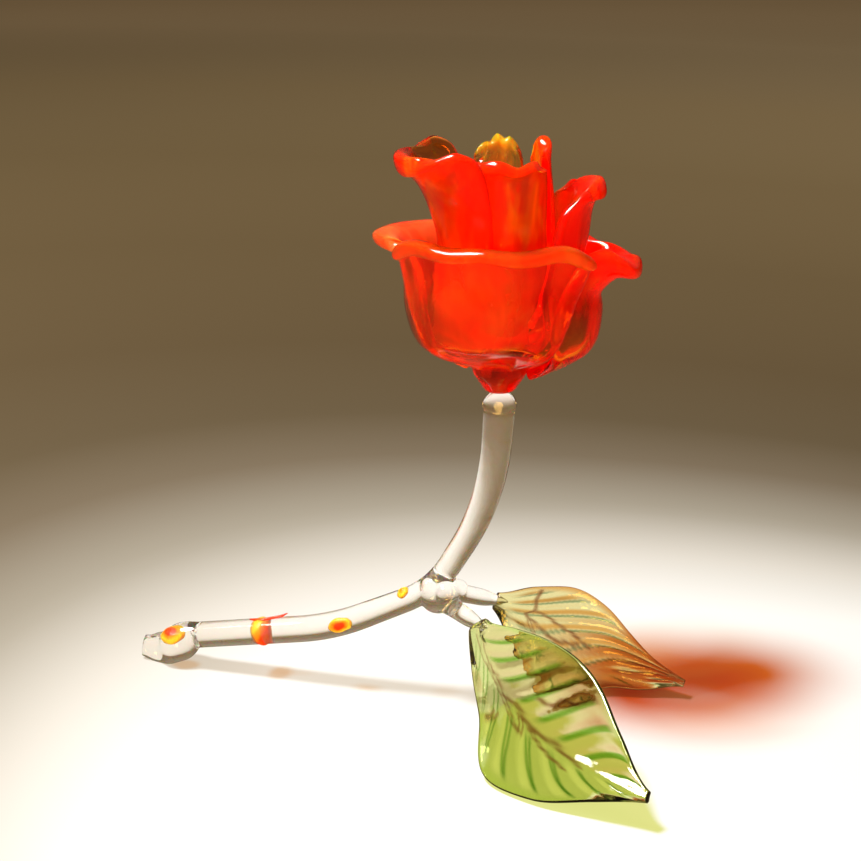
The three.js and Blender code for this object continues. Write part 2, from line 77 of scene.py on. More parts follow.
# Knot at the bend, with the lumps that were pressed onto it
KNOT_SIZE = (7.4, 6.8, 6.8)
KNOT_OFFSET = 1.9
KNOT_LUMPS = [
    ((1.6, -2.2, 1.3), 3),
    ((2.8, 1.7, 0.5), 3.4),
    ((-1.4, -1.9, 1.8), 2.6),
    ((3, -1.6, -1.4), 3.2),
    ((0.6, -0.8, 3), 3.4),
]
STALK_DIAMETER = 3.3
STALK_SWELLS = [1.3, 1.02, 0.94, 0.9, 0.62, 0.2]
STALK_RINGS = 20
STALK_OVERLAP = 1.25

TUBE_SIDES = 40
STALK_SIDES = 32
WELD_GRAIN = 0.25
MELT_SHARE = 0.5
MELT_ROUNDS = 24
CLEAR_NODES = ("stem_rod", "foot", "collar", "knot", "leaf_stalk_front", "leaf_stalk_rear")

CORE_RADIUS = 4.7
CORE_FOOT_RADIUS = 2.3
CORE_SHOULDER = 4.2
CORE_HEIGHT = 27
CORE_SIDES = 28
CORE_MILK = (-0.5, 0.3)
SEAT_GAP = 0.3
PETAL_RISE = 36
PETAL_REACH = 14
FLOWER_TURN = 18.8


def mix(a, b, share):
    return a + (b - a) * share


def smooth_step(value, low, high):
    t = min(max((value - low) / (high - low), 0), 1)
    return t * t * (3 - 2 * t)


# A smooth line through evenly paced values or points
def through(values, share):
    place = min(max(share, 0), 1) * (len(values) - 1)
    i = min(int(place), len(values) - 2)
    t = place - i
    before, start, end, after = (values[min(max(i + k, 0), len(values) - 1)] for k in (-1, 0, 1, 2))
    leave = (end - before) * 0.5
    arrive = (after - start) * 0.5
    return (
        (start * 2 - end * 2 + leave + arrive) * t**3
        + (end * 3 - start * 3 - leave * 2 - arrive) * t**2
        + leave * t
        + start
    )


def bezier(a, b, c, d, t):
    s = 1 - t
    return a * s**3 + b * (3 * s * s * t) + c * (3 * s * t * t) + d * t**3


# Where a line is heading, from a short step to either side
def heading_at(line, share, step):
    return (line(share + step) - line(share - step)).normalized()


def direction(heading, pitch):
    h, p = radians(heading), radians(pitch)
    return Vector((cos(p) * cos(h), cos(p) * sin(h), sin(p)))


# Slight unevenness of glass that was worked by hand, the same each time
UNEVENNESS_SEED = 5
noise.seed_set(UNEVENNESS_SEED)


def hand_worked(point, amount, grain):
    return point + noise.noise_vector(point / grain) * amount


# Camera

CAMERA_PLACE = Vector((139.8, -261.4, 139))
CAMERA_AIM = Vector((-0.3062, 0.9004, -0.3090))
SENSOR_WIDTH = 36
PICTURE_WIDTH = 861
FOCAL_LENGTH_IN_PIXELS = 1770
NEAREST_SEEN = 0.01

camera = bpy.data.objects.new("camera", bpy.data.cameras.new("camera"))
scene.collection.objects.link(camera)
camera.location = CAMERA_PLACE * MM
camera.rotation_euler = CAMERA_AIM.to_track_quat("-Z", "Y").to_euler()
camera.data.sensor_width = SENSOR_WIDTH
camera.data.lens = SENSOR_WIDTH * FOCAL_LENGTH_IN_PIXELS / PICTURE_WIDTH
camera.data.clip_start = NEAREST_SEEN
scene.camera = camera


# Finishes

def node(tree, kind, **sockets):
    made = tree.nodes.new(kind)
    for name, value in sockets.items():
        made.inputs[name.replace("_", " ")].default_value = value
    return made


def reckoning(tree, kind, operation):
    made = node(tree, kind)
    made.operation = operation
    return made


def attribute(tree, name):
    made = node(tree, "ShaderNodeAttribute")
    made.attribute_name = name
    return made


def ramp_of(tree, stops, interpolation="EASE"):
    ramp = node(tree, "ShaderNodeValToRGB")
    ramp.color_ramp.interpolation = interpolation
    while len(ramp.color_ramp.elements) < len(stops):
        ramp.color_ramp.elements.new(0.5)
    for element, (at, colour) in zip(ramp.color_ramp.elements, stops):
        element.position = at
        element.color = (*colour, 1)
    return ramp


# Glass that lets lamps through with its own tint, so it casts a coloured shadow
def glass(name, colour, shadow, roughness=0.02, ior=1.5):
    material = bpy.data.materials.new(name)
    material.use_nodes = True
    tree = material.node_tree
    tree.nodes.clear()
    surface = node(tree, "ShaderNodeBsdfPrincipled", Base_Color=(*colour, 1), Roughness=roughness, IOR=ior)
    surface.inputs["Transmission Weight"].default_value = 1
    passing = node(tree, "ShaderNodeBsdfTransparent", Color=(*shadow, 1))
    path = node(tree, "ShaderNodeLightPath")
    either = node(tree, "ShaderNodeMixShader")
    out = node(tree, "ShaderNodeOutputMaterial")
    tree.links.new(path.outputs["Is Shadow Ray"], either.inputs[0])
    tree.links.new(surface.outputs[0], either.inputs[1])
    tree.links.new(passing.outputs[0], either.inputs[2])
    tree.links.new(either.outputs[0], out.inputs["Surface"])
    return material, tree, surface, either


# Ripples left by the flame
def ripple(tree, surfaces, scale, height):
    place = node(tree, "ShaderNodeTexCoord")
    waves = node(tree, "ShaderNodeTexNoise", Scale=scale, Detail=2.0, Roughness=0.5)
    bump = node(tree, "ShaderNodeBump", Strength=1.0, Distance=height)
    tree.links.new(place.outputs["Object"], waves.inputs["Vector"])
    tree.links.new(waves.outputs[0], bump.inputs["Height"])
    for surface in surfaces:
        tree.links.new(bump.outputs[0], surface.inputs["Normal"])
    return place


# Clouds and streaks of colour, drawn out along the petals
def drift(tree, place, stops, scale, draw):
    stretch = node(tree, "ShaderNodeMapping", Scale=(1, 1, draw))
    clouds = node(tree, "ShaderNodeTexNoise", Scale=scale, Detail=3.0, Roughness=0.55, Distortion=0.6)
    ramp = ramp_of(tree, stops)
    tree.links.new(place.outputs["Object"], stretch.inputs["Vector"])
    tree.links.new(stretch.outputs[0], clouds.inputs["Vector"])
    tree.links.new(clouds.outputs[0], ramp.inputs[0])
    return ramp.outputs[0]


# Opal colour that glows inside the glass
def opal(tree, either, clear, depth, roughness=0.05, shine=0.4):
    milk = node(tree, "ShaderNodeBsdfPrincipled", Roughness=roughness, IOR=1.5)
    milk.inputs["Subsurface Weight"].default_value = 1
    milk.inputs["Specular IOR Level"].default_value = shine
    milk.inputs["Subsurface Radius"].default_value = (1, 0.3, 0.1)
    milk.inputs["Subsurface Scale"].default_value = depth
    both = node(tree, "ShaderNodeMixShader")
    tree.links.new(clear.outputs[0], both.inputs[1])
    tree.links.new(milk.outputs[0], both.inputs[2])
    tree.links.new(both.outputs[0], either.inputs[1])
    return milk, both


# Glass that deepens in colour where it is thick
def absorbing(material, colour, density):
    tree = material.node_tree
    inside = node(tree, "ShaderNodeVolumeAbsorption", Color=(*colour, 1), Density=density)
    out = next(n for n in tree.nodes if n.type == "OUTPUT_MATERIAL")
    tree.links.new(inside.outputs[0], out.inputs["Volume"])


def clear_glass():
    material, tree, clear, either = glass(
        "clear glass", colour=(0.97, 0.955, 0.93), shadow=(0.8, 0.77, 0.73), roughness=0.01, ior=1.48
    )
    haze, both = opal(tree, either, clear, depth=0.002)
    haze.inputs["Base Color"].default_value = (0.9, 0.84, 0.76, 1)
    both.inputs[0].default_value = 0.05
    ripple(tree, [clear, haze], scale=160, height=0.00006)
    return material


# Petal glass is clear in places and opal in others, most of all along its thick rim
def petal_glass(name, tints, colours, shares, density):
    material, tree, clear, either = glass(name, colour=(1, 0.75, 0.5), shadow=(0.86, 0.84, 0.8))
    milk, both = opal(tree, either, clear, depth=0.004)
    place = ripple(tree, [clear, milk], scale=140, height=0.00014)
    tree.links.new(drift(tree, place, tints, scale=45, draw=0.6), clear.inputs["Base Color"])
    tree.links.new(drift(tree, place, colours, scale=150, draw=0.4), milk.inputs["Base Color"])
    least, most = shares
    greys = [(0.4, (least, least, least)), (0.6, (most, most, most))]
    cloudy = drift(tree, place, greys, scale=110, draw=0.4)
    total = reckoning(tree, "ShaderNodeMath", "ADD")
    total.use_clamp = True
    tree.links.new(cloudy, total.inputs[0])
    tree.links.new(attribute(tree, "milk").outputs["Fac"], total.inputs[1])
    tree.links.new(total.outputs[0], both.inputs[0])
    absorbing(material, (1, 0.7, 0.03), density)
    return material


# Leaf glass takes its tint from the pressed veins
def leaf_glass(name, shadow):
    material, tree, surface, _ = glass(name, colour=(0.7, 0.75, 0.4), shadow=shadow)
    ripple(tree, [surface], scale=300, height=0.00012)
    tree.links.new(attribute(tree, "tint").outputs["Color"], surface.inputs["Base Color"])
    absorbing(material, (0.68, 0.72, 0.24), 120)
    return material


# Crushed coloured glass, yellow at its edge and red at its heart
def frit():
    material, tree, clear, either = glass(
        "orange frit", colour=(1, 0.7, 0.3), shadow=(0.96, 0.86, 0.76), roughness=0.08
    )
    milk, both = opal(tree, either, clear, depth=0.0008, roughness=0.4, shine=0.15)
    both.inputs[0].default_value = 0.85
    ripple(tree, [clear, milk], scale=400, height=0.00008)
    ramp = ramp_of(tree, FRIT_COLOURS)
    tree.links.new(attribute(tree, "heart").outputs["Fac"], ramp.inputs[0])
    tree.links.new(ramp.outputs[0], milk.inputs["Base Color"])
    return material


PALE_TINTS = [(0.42, (1, 0.5, 0.3)), (0.55, (1, 0.64, 0.34)), (0.66, (1, 0.85, 0.4))]
RED_TINTS = [(0.42, (1, 0.34, 0.2)), (0.55, (1, 0.55, 0.25)), (0.68, (1, 0.85, 0.4))]
AMBER_TINTS = [(0.4, (1, 0.72, 0.3)), (0.66, (1, 0.92, 0.5))]
FLAME_REDS = [(0.4, (1, 0.015, 0.0006)), (0.5, (1, 0.03, 0.001)), (0.62, (1, 0.1, 0.004))]
ORANGE_REDS = [(0.4, (1, 0.02, 0.0008)), (0.5, (1, 0.04, 0.0015)), (0.64, (1, 0.22, 0.006))]
DEEP_REDS = [(0.34, (1, 0.005, 0.0002)), (0.52, (1, 0.012, 0.0003)), (0.72, (1, 0.04, 0.001))]
VEIL_REDS = [(0.34, (1, 0.06, 0.002)), (0.52, (1, 0.09, 0.004)), (0.72, (1, 0.15, 0.01))]
CORALS = [(0.34, (1, 0.09, 0.015)), (0.52, (1, 0.14, 0.03)), (0.72, (1, 0.22, 0.06))]
GOLDS = [(0.38, (1, 0.3, 0.006)), (0.6, (1, 0.5, 0.02))]
FRIT_COLOURS = [(0.12, (1, 0.62, 0.05)), (0.36, (1, 0.3, 0.01)), (0.62, (0.9, 0.045, 0.004))]

CLEAR = clear_glass()
OUTER_RED = petal_glass("red glass, outer petals", PALE_TINTS, VEIL_REDS, (0, 0.14), 1300)
DEEP_RED = petal_glass("red glass, right petals", RED_TINTS, DEEP_REDS, (0.25, 0.7), 1100)
CORAL = petal_glass("red glass, left petal", RED_TINTS, CORALS, (0.5, 0.9), 900)
MIDDLE_RED = petal_glass("red glass, middle petals", RED_TINTS, FLAME_REDS, (0.4, 1), 900)
INNER_RED = petal_glass("red glass, inner petals", RED_TINTS, ORANGE_REDS, (0.3, 0.9), 900)
AMBER = petal_glass("amber glass, inner back petal", AMBER_TINTS, GOLDS, (0, 0.4), 350)
FRONT_GREEN = leaf_glass("green glass, front leaf", (0.82, 0.84, 0.52))
REAR_GREEN = leaf_glass("green glass, rear leaf", (0.74, 0.66, 0.44))
FRIT = frit()


# Pieces

ROSE = bpy.data.collections.new("rose")


def smooth_faces(mesh):
    for face in mesh.polygons:
        face.use_smooth = True


# Makes the mesh metres, gives it its finish and hangs it on the part
def piece(name, bm, material, slot, *nodes):
    bmesh.ops.scale(bm, vec=(MM, MM, MM), verts=bm.verts)
    mesh = bpy.data.meshes.new(name)
    bm.to_mesh(mesh)
    bm.free()
    mesh.materials.append(material)
    smooth_faces(mesh)
    made = bpy.data.objects.new(name, mesh)
    scene.collection.objects.link(made)
    ROSE.objects.link(made)
    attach(made, "root")
    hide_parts(*nodes)
    return made


def soften(made, levels):
    soft = made.modifiers.new("soft", "SUBSURF")
    soft.levels = soft.render_levels = levels


# Gives a sheet its wall, from a share of the full thickness at each point
def thicken(made, thickness, shares):
    group = made.vertex_groups.new(name="thickness")
    for n, share in enumerate(shares):
        group.add([n], share, "REPLACE")
    wall = made.modifiers.new("wall", "SOLIDIFY")
    wall.thickness = thickness * MM
    wall.offset = 0
    wall.vertex_group = group.name
    wall.use_rim = True


# Takes on what the modifiers make
def settle(made):
    shape = bpy.data.meshes.new_from_object(made.evaluated_get(bpy.context.evaluated_depsgraph_get()))
    made.modifiers.clear()
    made.data = shape
    smooth_faces(shape)


# Nothing reaches below the table
def stand(made):
    for vert in made.data.vertices:
        vert.co.z = max(vert.co.z, 0)


# Circles bridged into a tube with closed ends
def tube(bm, rings, sides):
    before = None
    for n, (centre, across, half_across, over, half_over) in enumerate(rings):
        along = across.cross(over)
        shape = Matrix((across * half_across, over * half_over, along)).transposed().to_4x4()
        shape.translation = centre
        ends = n in (0, len(rings) - 1)
        circle = bmesh.ops.create_circle(bm, cap_ends=ends, segments=sides, radius=1, matrix=shape)
        edges = {edge for vert in circle["verts"] for edge in vert.link_edges}
        if before:
            bmesh.ops.bridge_loops(bm, edges=list(before | edges))
        before = edges


def ellipsoid(bm, size, place):
    scale = Matrix.Diagonal((*size, 1))
    ball = bmesh.ops.create_uvsphere(bm, u_segments=40, v_segments=24, radius=0.5, matrix=place @ scale)
    return ball["verts"]


# Stem

def run_length(size, angle):
    return size * radians(angle) if angle else size


def bend_rod():
    points = [ROD_START.copy()]
    heading = radians(ROD_SLOPE)
    for size, angle in RUNS_AND_BENDS:
        turn = radians(angle)
        length = run_length(size, angle)
        steps = round(length / ROD_STEP)
        for _ in range(steps):
            heading += turn / steps / 2
            points.append(points[-1] + Vector((cos(heading), 0, sin(heading))) * (length / steps))
            heading += turn / steps / 2
    return points


ROD = bend_rod()
ROD_LENGTH = sum((b - a).length for a, b in zip(ROD, ROD[1:]))
BEFORE_KNEE = sum(run_length(*run) for run in RUNS_AND_BENDS[:KNEE_BEND])
TO_KNEE = BEFORE_KNEE + run_length(*RUNS_AND_BENDS[KNEE_BEND]) / 2
KNEE_AT = TO_KNEE / ROD_LENGTH


def rod_point(share):
    return through(ROD, share)


def rod_at(share):
    return rod_point(share), heading_at(rod_point, share, ROD_NUDGE)


def rod_radius(share):
    lower = mix(ROD_DIAMETER, KNEE_DIAMETER, smooth_step(share, KNEE_AT / 2, KNEE_AT))
    return mix(lower, NECK_DIAMETER, smooth_step(share, KNEE_AT, 1)) / 2


def out_from_rod(share, angle):
    _, along = rod_at(share)
    return Matrix.Rotation(radians(angle), 3, along) @ along.cross(SIDEWAYS)


# The basis at a place on the rod: along it, round it and out of it
def on_rod(share, angle, lift):
    centre, along = rod_at(share)
    out = out_from_rod(share, angle)
    place = Matrix((along, out.cross(along), out)).transposed().to_4x4()
    place.translation = centre + out * lift
    return place


KNOT_CENTRE = rod_point(KNEE_AT) + out_from_rod(KNEE_AT, 180) * KNOT_OFFSET
STALKS = {
    "front": (Vector((0.5, -0.5 * STALK_DIAMETER, -0.3)), Vector((7.2, -0.6, -4.6))),
    "rear": (Vector((0.5, 0.55 * STALK_DIAMETER, -0.1)), Vector((7.4, 8.2, -3.6))),
}
COLLAR_CENTRE = rod_point(1)
FLOWER_FOOT = COLLAR_CENTRE + UP * (COLLAR_HEIGHT / 2 + SEAT_GAP)
FLOWER_PLACE = Matrix.Translation(FLOWER_FOOT) @ Matrix.Rotation(radians(FLOWER_TURN), 4, "Z")


def rod_rings():
    start, along = rod_at(0)
    yield start - along * ROD_PLUG, SIDEWAYS, PLUG_RADIUS, along.cross(SIDEWAYS), PLUG_RADIUS
    for n in range(ROD_RINGS + 1):
        share = n / ROD_RINGS
        centre, along = rod_at(share)
        radius = rod_radius(share)
        yield centre, SIDEWAYS, radius, along.cross(SIDEWAYS), radius


# How wide or tall the foot is, from the rod to its pinched end
def foot_swell(full, pinch, share):
    return through([ROD_DIAMETER, 0.9 * full, full, 0.9 * full, 1.15 * pinch, 0.8 * pinch], share)


def foot_rings():
    start, heading = rod_at(0)
    sag_at, sag_lift = FOOT_SAG
    tip = Vector((ROD_START.x - FOOT_LENGTH, 0, PINCH_HEIGHT * PINCH_LIFT))
    sag = Vector((mix(tip.x, start.x, sag_at), 0, FOOT_HEIGHT * sag_lift))
    leave = start - heading * (FOOT_LENGTH / 3)

    def line(share):
        return bezier(start, leave, sag, tip, share)

    yield start + heading * FOOT_PLUG, SIDEWAYS, PLUG_RADIUS, heading.cross(SIDEWAYS) * -1, PLUG_RADIUS
    for n in range(FOOT_RINGS + 1):
        share = n / FOOT_RINGS
        along = heading_at(line, share, FOOT_NUDGE)
        width = foot_swell(FOOT_WIDTH, PINCH_WIDTH, share)
        height = foot_swell(FOOT_HEIGHT, PINCH_HEIGHT, share)
        yield line(share), SIDEWAYS, width / 2, along.cross(SIDEWAYS), height / 2


# A stalk runs on past its end, into the leaf
def stalk_rings(start, end):
    along = (end - start).normalized()
    across = along.cross(UP).normalized()
    for n in range(STALK_RINGS + 1):
        share = STALK_OVERLAP * n / STALK_RINGS
        radius = STALK_DIAMETER * through(STALK_SWELLS, share / STALK_OVERLAP) / 2
        yield KNOT_CENTRE + start.lerp(end, share), across, radius, across.cross(along), radius


# Rod, foot, collar, knot and stalks are one run of clear glass, welded in the flame
def clear_stem():
    bm = bmesh.new()
    tube(bm, list(rod_rings()), TUBE_SIDES)
    tube(bm, list(foot_rings()), TUBE_SIDES)
    for start, end in STALKS.values():
        tube(bm, list(stalk_rings(start, end)), STALK_SIDES)
    ellipsoid(bm, KNOT_SIZE, on_rod(KNEE_AT, 180, KNOT_OFFSET))
    for place, size in KNOT_LUMPS:
        ellipsoid(bm, (size, size, size), Matrix.Translation(KNOT_CENTRE + Vector(place)))
    collar_size = (COLLAR_DIAMETER, COLLAR_DIAMETER, COLLAR_HEIGHT * COLLAR_BULGE)
    ellipsoid(bm, collar_size, Matrix.Translation(COLLAR_CENTRE))
    bmesh.ops.recalc_face_normals(bm, faces=bm.faces)
    stem = piece("clear_stem", bm, CLEAR, "clear_glass", *CLEAR_NODES)
    weld = stem.modifiers.new("weld", "REMESH")
    weld.mode = "VOXEL"
    weld.voxel_size = WELD_GRAIN * MM
    melt = stem.modifiers.new("melt", "SMOOTH")
    melt.factor = MELT_SHARE
    melt.iterations = MELT_ROUNDS
    settle(stem)
    stand(stem)


clear_stem()


# Flower

def bud_core():
    bm = bmesh.new()
    outline = [
        (0, 0),
        (CORE_FOOT_RADIUS, 0),
        (CORE_FOOT_RADIUS * 1.25, CORE_SHOULDER * 0.25),
        (CORE_RADIUS * 0.93, CORE_SHOULDER * 0.72),
        (CORE_RADIUS, CORE_SHOULDER),
        (CORE_RADIUS * 0.96, CORE_SHOULDER * 1.6),
        (CORE_RADIUS * 0.92, CORE_HEIGHT * 0.5),
        (CORE_RADIUS * 0.8, CORE_HEIGHT * 0.72),
        (CORE_RADIUS * 0.48, CORE_HEIGHT * 0.92),
        (0, CORE_HEIGHT),
    ]
    verts = [bm.verts.new((r, 0, z)) for r, z in outline]
    edges = [bm.edges.new(pair) for pair in zip(verts, verts[1:])]
    bmesh.ops.spin(
        bm, geom=verts + edges, cent=(0, 0, 0), axis=UP, angle=2 * pi, steps=CORE_SIDES, use_merge=True
    )
    bmesh.ops.remove_doubles(bm, verts=bm.verts, dist=1e-4)
    bmesh.ops.recalc_face_normals(bm, faces=bm.faces)
    milk = bm.verts.layers.float.new("milk")
    for vert in bm.verts:
        vert[milk] = mix(*CORE_MILK, smooth_step(vert.co.z, CORE_SHOULDER * 0.8, CORE_SHOULDER * 1.6))
    bmesh.ops.transform(bm, matrix=FLOWER_PLACE, verts=bm.verts)
    core = piece("core", bm, DEEP_RED, "red_glass", "bud_core")
    soften(core, 2)
    settle(core)


bud_core()

# Rings of petals: wall, rim, and how far they stand out from the core
INNER = (1.4, 2.2, 0)
MIDDLE = (1.5, 2.7, 1.4)
OUTER = (1.6, 2.7, 2.9)

# Each petal's profile at its middle and at its sides, as reach and rise, and its spread in degrees
# Clouds are a change in milkiness, its place across and up the petal, and its reach
PETALS = {
    "outer_petal_front": dict(
        ring=OUTER, azimuth=-102, falloff=4, ruffle=0.01,
        clouds=[(0.12, (0, 0.5), (0.62, 0.5)), (0.08, (-0.8, 0.45), (0.5, 0.6))],
        middle=[
            (0.03, 0.08), (0.2, 0.12), (0.4, 0.21), (0.48, 0.33),
            (0.5, 0.48), (0.57, 0.6), (0.71, 0.58),
        ],
        sides=[
            (0.03, 0.05), (0.22, 0.08), (0.42, 0.17), (0.49, 0.29),
            (0.49, 0.41), (0.54, 0.5), (0.67, 0.53),
        ],
        spread=[32, 40, 48, 53, 61, 66, 64],
    ),
    "outer_petal_right": dict(
        ring=OUTER, azimuth=11, lip=1.8,
        clouds=[(-0.7, (-0.1, 0.32), (1.6, 0.44)), (0.8, (-0.28, 0.42), (0.36, 0.9))],
        middle=[
            (0.03, -0.01), (0.24, 0.03), (0.43, 0.13), (0.5, 0.27),
            (0.5, 0.36), (0.74, 0.43), (1.02, 0.43),
        ],
        sides=[
            (0.03, 0), (0.13, 0.04), (0.22, 0.15), (0.31, 0.29),
            (0.32, 0.42), (0.385, 0.53), (0.6, 0.57),
        ],
        spread=[38, 49, 60, 64, 58, 44, 31],
    ),
    "outer_petal_left": dict(
        ring=OUTER, azimuth=150,
        clouds=[(-0.66, (0.6, 0.34), (1.2, 0.5))],
        middle=[
            (0.03, 0.03), (0.22, 0.06), (0.4, 0.15), (0.49, 0.28),
            (0.48, 0.43), (0.68, 0.56), (1, 0.53),
        ],
        sides=[
            (0.03, 0.04), (0.12, 0.07), (0.2, 0.16), (0.29, 0.29),
            (0.31, 0.4), (0.33, 0.49), (0.39, 0.54),
        ],
        spread=[38, 48, 56, 58, 54, 44, 36],
    ),
    "middle_petal_left": dict(
        ring=MIDDLE, azimuth=190, lip=0.9,
        clouds=[(-0.9, (-0.55, 0.92), (0.8, 0.3))],
        middle=[
            (0, 0.14), (0.14, 0.19), (0.22, 0.29), (0.23, 0.42),
            (0.18, 0.59), (0.33, 0.77), (0.58, 0.9), (0.73, 0.91),
        ],
        sides=[
            (0, 0.14), (0.12, 0.2), (0.18, 0.31), (0.18, 0.46),
            (0.18, 0.63), (0.22, 0.81), (0.31, 0.95), (0.41, 0.99),
        ],
        spread=[34, 46, 60, 68, 70, 66, 58, 44],
    ),
    "middle_petal_right": dict(
        ring=MIDDLE, azimuth=2, lip=0.8,
        clouds=[(-0.6, (-1, 0.25), (0.6, 0.3))],
        middle=[
            (0, 0.09), (0.16, 0.15), (0.28, 0.26), (0.33, 0.41),
            (0.42, 0.57), (0.45, 0.71), (0.53, 0.79), (0.66, 0.81),
        ],
        sides=[
            (0, 0.09), (0.15, 0.16), (0.22, 0.28), (0.26, 0.41),
            (0.33, 0.57), (0.37, 0.7), (0.41, 0.76), (0.46, 0.78),
        ],
        spread=[34, 44, 52, 56, 53, 46, 36, 24],
    ),
    "middle_petal_back": dict(
        ring=MIDDLE, azimuth=93,
        middle=[
            (0, 0.09), (0.14, 0.15), (0.26, 0.26), (0.29, 0.41),
            (0.31, 0.57), (0.41, 0.7), (0.54, 0.73),
        ],
        sides=[
            (0, 0.09), (0.13, 0.16), (0.19, 0.28), (0.24, 0.41),
            (0.26, 0.57), (0.3, 0.68), (0.37, 0.71),
        ],
        spread=[22, 22, 22, 22, 22, 22, 20],
    ),
    "inner_petal_front": dict(
        ring=INNER, azimuth=-98, dip=-0.02, ruffle=0.012,
        middle=[
            (0, 0.21), (0.1, 0.29), (0.14, 0.44), (0.15, 0.61),
            (0.14, 0.79), (0.17, 0.89), (0.27, 0.92),
        ],
        sides=[
            (0, 0.21), (0.1, 0.3), (0.14, 0.44), (0.14, 0.61),
            (0.13, 0.79), (0.13, 0.9), (0.16, 0.94),
        ],
        spread=[34, 56, 68, 70, 70, 68, 58],
    ),
    "inner_petal_back": dict(
        ring=INNER, azimuth=97, dip=-0.02, ruffle=0.01,
        middle=[
            (0, 0.21), (0.04, 0.3), (0.04, 0.44), (0.03, 0.61),
            (0, 0.8), (-0.03, 0.94), (-0.06, 1.01),
        ],
        sides=[
            (0, 0.21), (0.03, 0.3), (0.03, 0.44), (0.02, 0.61),
            (0, 0.77), (-0.01, 0.89), (-0.03, 0.95),
        ],
        spread=[34, 42, 44, 45, 46, 44, 36],
    ),
    "inner_petal_right": dict(
        ring=INNER, azimuth=16,
        middle=[
            (0, 0.21), (0.09, 0.3), (0.16, 0.44), (0.17, 0.61),
            (0.14, 0.8), (0.11, 0.95), (0.1, 1.02),
        ],
        sides=[
            (0, 0.21), (0.09, 0.3), (0.14, 0.44), (0.16, 0.61),
            (0.13, 0.77), (0.1, 0.9), (0.07, 0.96),
        ],
        spread=[24, 28, 30, 30, 30, 30, 24],
    ),
}

# A petal's foot is drawn in and down to the gather
FOOT_REACH = 0.15
FOOT_TUCK = 1.4
FOOT_DROP = 1.2

PETAL_GRID = (26, 24)
PETAL_UNEVENNESS = (0.5, 8)

# Milkiness of a petal, and the zones up or across it where each part sets in
RIM_MILK = 0.5
FOOT_MILK = 0.3
OUTER_EDGE_MILK = 0.1
EDGE_MILK = -0.5
MILKY_RIM = (0.84, 0.96)
MILKY_FOOT = (0.12, 0)
MILKY_EDGE = (0.88, 1)
CLOUD_EDGE = (0.4, 1)

# Thick bead round a petal, which rounds off at its very edge
RIM_BEAD = (0.78, 0.92)
EDGE_BEAD = (0.82, 0.95)
EDGE_BEAD_SHARE = 0.4
ROUNDED_OFF = (0.94, 1)
ROUNDING = 0.45
RIM_UNEVENNESS = 0.14
LIP_ENDS = (0.4, 0.9)


def petal_point(shape, u, v):
    thickness, _, inside = shape["ring"]
    middle = through([Vector(p) for p in shape["middle"]], v)
    side = through([Vector(p) for p in shape["sides"]], v)
    profile = middle.lerp(side, abs(u) ** shape.get("falloff", 2))
    lift = v**3 * (shape.get("dip", 0) * u + shape.get("ruffle", 0) * cos(3 * pi * u))
    foot = 1 - smooth_step(v, 0, FOOT_REACH)
    radius = CORE_RADIUS + thickness / 2 + inside * min(4 * v, 1) + PETAL_REACH * profile.x
    radius -= FOOT_TUCK * foot
    height = CORE_SHOULDER + PETAL_RISE * (profile.y + lift) - FOOT_DROP * foot
    angle = radians(shape["azimuth"] + u * through(shape["spread"], v))
    return Vector((radius * cos(angle), radius * sin(angle), height))


# A petal is a sheet pulled from the gather, with a thick melted rim and on some a heavier lip
def petal(name, shape, material):
    bm = bmesh.new()
    columns, rows = PETAL_GRID
    bmesh.ops.create_grid(bm, x_segments=columns, y_segments=rows, size=1)
    milk = bm.verts.layers.float.new("milk")
    wall, rim, _ = shape["ring"]
    lip = shape.get("lip", 0)
    edge_milk = OUTER_EDGE_MILK if shape["ring"] == OUTER else EDGE_MILK
    shares = []
    for vert in bm.verts:
        u, v = vert.co.x, (vert.co.y + 1) / 2
        vert[milk] = max(RIM_MILK * smooth_step(v, *MILKY_RIM), FOOT_MILK * smooth_step(v, *MILKY_FOOT))
        vert[milk] += edge_milk * smooth_step(abs(u), *MILKY_EDGE)
        for amount, centre, reach in shape.get("clouds", []):
            away = Vector(((u - centre[0]) / reach[0], (v - centre[1]) / reach[1])).length
            vert[milk] += amount * (1 - smooth_step(away, *CLOUD_EDGE))
        bead = max(smooth_step(v, *RIM_BEAD), EDGE_BEAD_SHARE * smooth_step(abs(u), *EDGE_BEAD))
        fade = 1 - ROUNDING * max(smooth_step(v, *ROUNDED_OFF), smooth_step(abs(u), *ROUNDED_OFF))
        uneven = 1 - RIM_UNEVENNESS + RIM_UNEVENNESS * sin(5 * u + shape["azimuth"])
        thick = rim * uneven + lip * (1 - smooth_step(abs(u), *LIP_ENDS))
        shares.append(mix(wall, thick, bead) * fade / (rim + lip))
        vert.co = hand_worked(petal_point(shape, u, v), *PETAL_UNEVENNESS)
    bmesh.ops.transform(bm, matrix=FLOWER_PLACE, verts=bm.verts)
    made = piece(name.replace("_petal", "") + "_petal", bm, material, "red_glass", name)
    thicken(made, rim + lip, shares)
    soften(made, 2)
    settle(made)


RING_GLASS = {OUTER: OUTER_RED, MIDDLE: MIDDLE_RED, INNER: INNER_RED}
OWN_GLASS = {
    "outer_petal_right": DEEP_RED,
    "outer_petal_left": CORAL,
    "middle_petal_right": DEEP_RED,
    "inner_petal_back": AMBER,
}
for name, shape in PETALS.items():
    petal(name, shape, OWN_GLASS.get(name, RING_GLASS[shape["ring"]]))


# Leaves

LEAF_THICKNESS = 2.1
LEAF_FULLEST = LEAF_THICKNESS + 0.4
LEAF_GRID = (44, 180)
LEAF_UNEVENNESS = (0.2, 8)
RIB_NUDGE = 0.005
FORWARD_SWEEP = 0.85
TIP_SLIMMING = 0.8
FAR_SLIMMING = 0.33
FAR_SLIMMING_ZONE = (-0.2, 0.7)
FAR_THINNING = (0.35, 0.75)

